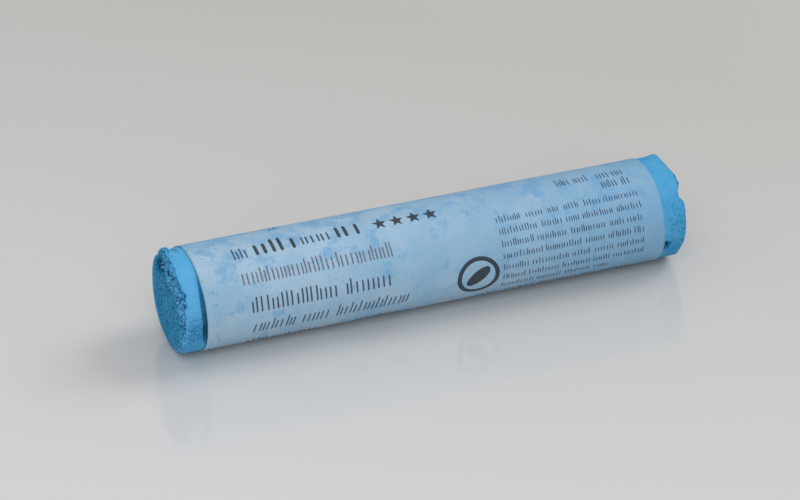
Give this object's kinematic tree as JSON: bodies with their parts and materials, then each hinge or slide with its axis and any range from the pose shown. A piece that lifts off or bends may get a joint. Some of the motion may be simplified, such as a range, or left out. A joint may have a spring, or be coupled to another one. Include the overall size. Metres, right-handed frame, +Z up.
{
  "type": "soft pastel stick",
  "caption": "Used round stick of soft artist's pastel, snapped off at one end and worn at the other, in a glued paper sleeve.",
  "frame": {"origin": "on the supporting surface, under the middle of the stick's length", "axes": "+X along the stick from the broken end to the worn end, +Z up, the stick lying on its side"},
  "size_m": [0.057, 0.0113, 0.0112],
  "materials": {
    "chalk": "matte",
    "paper": "matte"
  },
  "bodies": {
    "root": {"pastel_stick": "chalk", "paper_label": "paper"}
  },
  "joints": []
}
